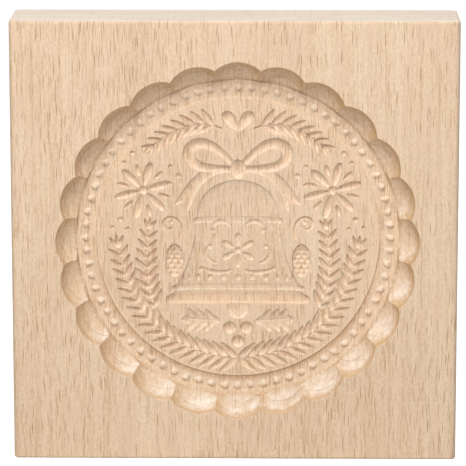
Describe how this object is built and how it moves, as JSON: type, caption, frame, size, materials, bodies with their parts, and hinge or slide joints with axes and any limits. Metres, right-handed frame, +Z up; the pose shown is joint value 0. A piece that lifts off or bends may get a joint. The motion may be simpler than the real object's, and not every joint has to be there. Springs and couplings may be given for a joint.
{
  "type": "cookie mould",
  "caption": "Square wooden cookie mould with a round scalloped recess, a pearl ring and a carved bell picture, to press a raised pattern into dough.",
  "frame": {"origin": "middle of the lower edge face, on which the block stands as in the picture", "axes": "+Z up along the grain, carved face towards -Y, +X to the right when facing the carved face"},
  "size_m": [0.13, 0.025, 0.13],
  "materials": {
    "beech": "planed and carved beech, unfinished"
  },
  "bodies": {
    "root": {"mould_block": "beech"}
  },
  "joints": []
}
